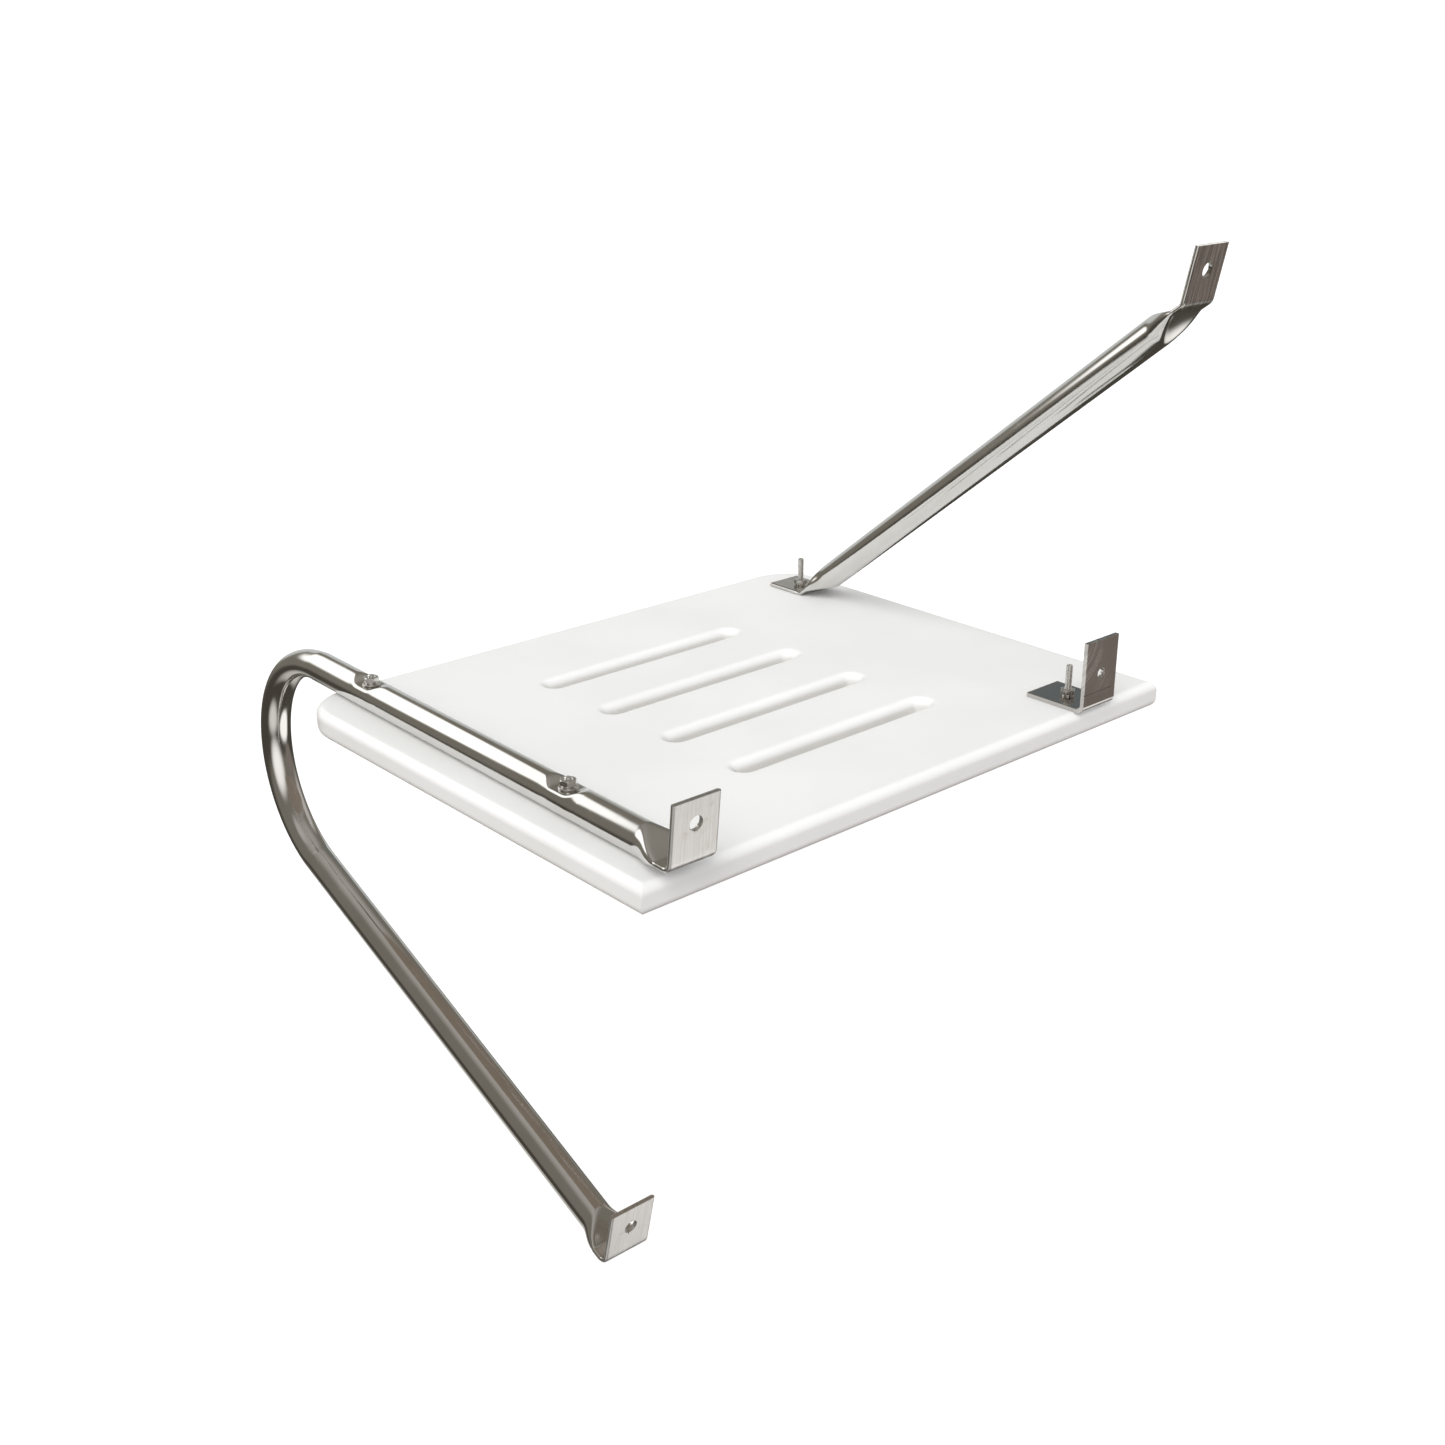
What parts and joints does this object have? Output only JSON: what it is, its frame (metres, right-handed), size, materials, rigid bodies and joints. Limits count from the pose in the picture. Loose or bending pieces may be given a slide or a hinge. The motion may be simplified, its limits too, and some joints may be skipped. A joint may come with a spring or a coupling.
{
  "type": "boat transom swim platform",
  "caption": "Slotted swim platform board for a boat transom, underside up, with a bent tube rail, a straight swivelling strut and an angle bracket, each ending in a drilled mounting tab.",
  "frame": {"origin": "middle of the board's transom edge, at half the board's thickness", "axes": "+X along the transom edge towards the angle bracket, +Y outwards from the transom, +Z out of the board face that carries the hardware, which faces down in use"},
  "size_m": [0.476, 0.5776, 0.6155],
  "materials": {
    "board_plastic": "matte off-white moulded polyethylene",
    "polished_tube": "mirror-polished stainless steel tube",
    "bracket_steel": "polished stainless sheet with fine swirls",
    "fasteners": "bright turned stainless steel"
  },
  "bodies": {
    "platform": {"deck_board": "board_plastic", "rail_tube": "polished_tube", "rail_outer_screw": "fasteners", "rail_outer_lock_washer": "fasteners", "rail_outer_nut": "fasteners", "rail_outer_flat_washer": "fasteners", "rail_inner_screw": "fasteners", "rail_inner_lock_washer": "fasteners", "rail_inner_nut": "fasteners", "rail_inner_flat_washer": "fasteners", "strut_screw": "fasteners", "strut_lock_washer": "fasteners", "strut_nut": "fasteners", "bracket_screw": "fasteners", "bracket_lock_washer": "fasteners", "bracket_nut": "fasteners"},
    "strut": {"strut_tube": "polished_tube"},
    "bracket": {"angle_bracket": "bracket_steel"}
  },
  "joints": [
    {"name": "strut_swivel", "type": "hinge", "parent": "platform", "child": "strut", "pos_m": [0.203, 0.3302, 0.011], "axis": [0, 0, 1], "range_deg": [-45, 45]},
    {"name": "bracket_swivel", "type": "hinge", "parent": "platform", "child": "bracket", "pos_m": [0.163, 0.022, 0.0111], "axis": [0, 0, 1], "range_deg": [-90, 90]}
  ]
}
